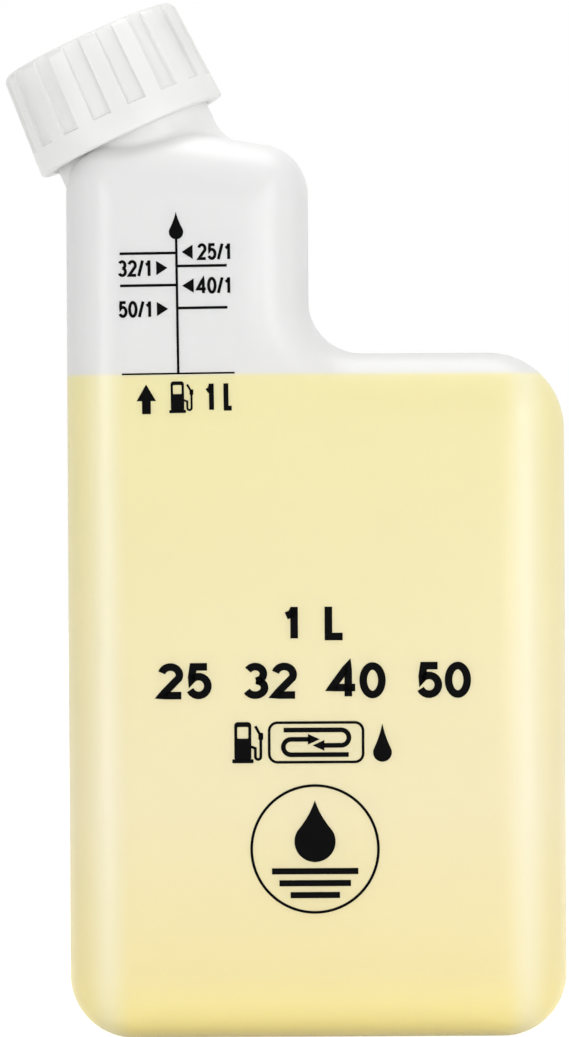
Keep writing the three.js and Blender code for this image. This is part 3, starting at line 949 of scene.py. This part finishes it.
# The lower print, by its middle across and its heights above the base
PRINT_X = MIDDLE - 0.75
BOX_X, BOX_Z, BOX_WIDTH, BOX_HEIGHT, BOX_CORNER = PRINT_X + 0.4, 72.4, 22.8, 9.6, 2
RING_Z, RING_RADIUS = 46.5, 15.4
RING_DROP_LOW, RING_DROP_HIGH, RING_DROP_HALF = RING_Z - 3.2, RING_Z + 11.8, 5
RING_LEVELS = ((-5.4, 10.5), (-8.3, 8.7), (-11.2, 6))
NUMBER_LINE = 1.85
# Each line of numbers: its text, middle height, width and height
NUMBERS = (("1 L", 101.5, 15.5, 8.7), ("25 32 40 50", 87.4, 76.2, 8.8))
PUMP_LEFT, PUMP_WIDTH, PUMP_HEIGHT = PRINT_X - 19.7, 7.4, 10
DROP_X, DROP_LOW, DROP_HIGH, DROP_HALF = PRINT_X + 16.5, 67.6, 76.9, 2.28
HOOK_LINE = 1.15
HOOK_BAR = 3.0  # height of a hook's long side over the box's middle
HOOK_RETURN = 0.75  # and of the side that runs back, under it
HOOK_START, HOOK_BEND, HOOK_TIP = -7.9, 6.1, -0.9
HOOK_HEAD_LENGTH, HOOK_HEAD_HALF = 2.9, 1.3
HOOK_OVERLAP = 0.5
LEVEL_LINE = 1.5


def mixing_hook(way):
    """One of two arrows that hook round each other inside the box."""
    middle, reach = (HOOK_BAR - HOOK_RETURN) / 2, (HOOK_BAR + HOOK_RETURN) / 2
    path = [(HOOK_START, HOOK_BAR)] + curved(HOOK_BEND, middle, reach, reach, 90, -90, 12)
    path += [(HOOK_TIP + HOOK_HEAD_LENGTH - HOOK_OVERLAP, -HOOK_RETURN)]
    head = [(HOOK_TIP, -HOOK_RETURN)]
    for rise in (HOOK_HEAD_HALF, -HOOK_HEAD_HALF):
        head.append((HOOK_TIP + HOOK_HEAD_LENGTH, -HOOK_RETURN + rise))
    path, head = ([(BOX_X + way * x, BOX_Z + way * z) for x, z in line] for line in (path, head))
    return [stroke(path, HOOK_LINE), filled(head)]


def lower_shapes():
    """The numbers, the mixing box with its pump and drop, and the ring with a drop over three levels."""
    shapes = []
    for text, z, width, height in NUMBERS:
        left, low = PRINT_X - width / 2, z - height / 2
        shapes += figures(text, left, PRINT_X + width / 2, low, z + height / 2, NUMBER_LINE)
    half_w, half_h = BOX_WIDTH / 2, BOX_HEIGHT / 2
    box = rounded_box(BOX_X - half_w, BOX_X + half_w, BOX_Z - half_h, BOX_Z + half_h, BOX_CORNER)
    shapes.append(stroke(box, LINE, closed=True))
    shapes += mixing_hook(1) + mixing_hook(-1)
    shapes += pump_shapes(PUMP_LEFT, BOX_Z - PUMP_HEIGHT / 2, PUMP_WIDTH, PUMP_HEIGHT, 0.9)
    shapes.append(filled(drop_points(DROP_X, DROP_LOW, DROP_HIGH, DROP_HALF)))
    ring = curved(PRINT_X, RING_Z, RING_RADIUS, RING_RADIUS, 0, 360, 96)[:-1]
    shapes.append(stroke(ring, LINE, closed=True))
    shapes.append(filled(drop_points(PRINT_X, RING_DROP_LOW, RING_DROP_HIGH, RING_DROP_HALF)))
    for z, half in RING_LEVELS:
        shapes.append(bar(PRINT_X - half, RING_Z + z, PRINT_X + half, RING_Z + z, LEVEL_LINE))
    return shapes


def print_piece(name, shapes, tree, material, origin=(0, 0), tilt=0):
    """One printed group: its shapes turned and moved into place, then laid on the bottle."""
    points, faces = [], []
    c, s = math.cos(tilt), math.sin(tilt)
    for shape_points, shape_faces in shapes:
        start = len(points)
        for x, side, z in shape_points:
            points.append((origin[0] + c * x - s * z, side, origin[1] + s * x + c * z))
        faces += [[start + i for i in face] for face in shape_faces]
    piece = new_object(name, points, faces)
    piece.data.validate()
    lay_ink(piece, tree)
    piece.data.materials.append(material)
    return piece


# The studio

CAMERA_DISTANCE = 1.7
CAMERA_HEIGHT = 0.1268
CAMERA_X = -0.0001
CAMERA_ROLL = math.radians(0.31)
VIEW_HEIGHT = 0.25612
FILM = 36
FLOOR_HALF = 6000
FLOOR_DROP = 0.05
WORLD_LIGHT = 0.415
FLOOR_GLOW = 0.8
LAMP_AIM = (0, 0, 0.11)
NOISE_LIMIT = 0.015


def add_camera():
    data = bpy.data.cameras.new("camera")
    data.sensor_fit = "VERTICAL"
    data.sensor_height = FILM
    data.lens = CAMERA_DISTANCE * FILM / VIEW_HEIGHT
    camera = bpy.data.objects.new("camera", data)
    camera.location = (CAMERA_X, -CAMERA_DISTANCE, CAMERA_HEIGHT)
    turn_up, roll = Matrix.Rotation(math.pi / 2, 3, "X"), Matrix.Rotation(-CAMERA_ROLL, 3, "Z")
    camera.rotation_euler = (turn_up @ roll).to_euler()
    bpy.context.scene.collection.objects.link(camera)
    bpy.context.scene.camera = camera


def add_lamp(name, place, width, height, watts):
    """A soft lamp of a size in metres, turned to the bottle."""
    data = bpy.data.lights.new(name, "AREA")
    data.shape = "RECTANGLE"
    data.size, data.size_y = width, height
    data.energy = watts
    lamp = bpy.data.objects.new(name, data)
    lamp.location = place
    lamp.rotation_euler = (Vector(LAMP_AIM) - Vector(place)).to_track_quat("-Z", "Y").to_euler()
    bpy.context.scene.collection.objects.link(lamp)


def seen_rays(tree):
    """1 for the rays that show the background: from the camera, off gloss and through glass."""
    path = tree.nodes.new("ShaderNodeLightPath")
    total = path.outputs["Is Camera Ray"]
    for name in ("Is Glossy Ray", "Is Transmission Ray"):
        larger = tree.nodes.new("ShaderNodeMath")
        larger.operation = "MAXIMUM"
        tree.links.new(total, larger.inputs[0])
        tree.links.new(path.outputs[name], larger.inputs[1])
        total = larger.outputs[0]
    return total


def add_world():
    """White where it is seen, and a weaker white light on the bottle."""
    world = bpy.data.worlds.new("studio")
    bpy.context.scene.world = world
    world.use_nodes = True
    tree = world.node_tree
    tree.nodes["Background"].inputs["Color"].default_value = (1, 1, 1, 1)
    tree.nodes["Background"].inputs["Strength"].default_value = WORLD_LIGHT
    white = tree.nodes.new("ShaderNodeBackground")
    white.inputs["Color"].default_value = (1, 1, 1, 1)
    pick = tree.nodes.new("ShaderNodeMixShader")
    tree.links.new(seen_rays(tree), pick.inputs[0])
    tree.links.new(tree.nodes["Background"].outputs[0], pick.inputs[1])
    tree.links.new(white.outputs[0], pick.inputs[2])
    tree.links.new(pick.outputs[0], tree.nodes["World Output"].inputs["Surface"])


def add_floor():
    """A white floor that keeps the bottle's soft shadow."""
    points = [(x * FLOOR_HALF, y * FLOOR_HALF, -FLOOR_DROP) for x, y in CORNER_SIGNS]
    floor = new_object("floor", points, [(0, 1, 2, 3)])
    nodes = Nodes("floor_white")
    nodes.shader.inputs["Base Color"].default_value = (0.9, 0.9, 0.9, 1)
    nodes.shader.inputs["Roughness"].default_value = 0.9
    nodes.shader.inputs["Specular IOR Level"].default_value = 0
    glow = nodes.add("ShaderNodeEmission", {"Color": (1, 1, 1, 1)})
    nodes.set(glow.inputs["Strength"], nodes.spread(seen_rays(nodes.tree), 0, FLOOR_GLOW))
    both = nodes.add("ShaderNodeAddShader")
    nodes.tree.links.new(nodes.shader.outputs[0], both.inputs[0])
    nodes.tree.links.new(glow.outputs[0], both.inputs[1])
    nodes.tree.links.new(both.outputs[0], nodes.output.inputs["Surface"])
    floor.data.materials.append(nodes.material)


def add_light():
    """Two tall strips for the bright lines down the body's sides, and soft light from other sides."""
    add_lamp("left_strip", (-1.12, -1.3, 0.25), 0.38, 1.4, 13.5)
    add_lamp("right_strip", (1.08, -1.33, 0.25), 0.36, 1.4, 13)
    add_lamp("left_side", (-1.6, -0.25, 0.3), 1, 1.4, 2)
    add_lamp("right_side", (1.6, -0.3, 0.4), 1, 1.4, 4.5)
    add_lamp("front_fill", (0.5, -1.7, 0.05), 0.6, 0.3, 5.5)
    add_lamp("overhead", (0.1, 0.15, 1.8), 1.4, 1.0, 18)


bpy.context.scene.cycles.adaptive_threshold = NOISE_LIMIT
add_camera()
add_world()
add_floor()
add_light()
bpy.context.scene.view_settings.view_transform = "Standard"

bottle = make_bottle(bottle_material())
fuel = make_fuel(fuel_material())
cap = make_cap(cap_material())
liner = make_liner(liner_material())
for piece, node, body, slot in (
    (bottle, "bottle", "bottle", "bottle_plastic"),
    (fuel, "fuel", "bottle", "fuel"),
    (cap, "cap", "cap", "cap_plastic"),
    (liner, "cap_liner", "liner", "liner_foam"),
):
    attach(piece, body)
    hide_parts(node)

ink = ink_material()
skin = BVHTree.FromObject(bottle, bpy.context.evaluated_depsgraph_get())
prints = [
    print_piece("scale_print", scale_shapes(), skin, ink, SCALE_FOOT, SCALE_TILT),
    print_piece("litre_print", litre_shapes(), skin, ink, SCALE_FOOT, SCALE_TILT),
    print_piece("lower_print", lower_shapes(), skin, ink),
]
for piece in prints:
    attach(piece, "bottle")
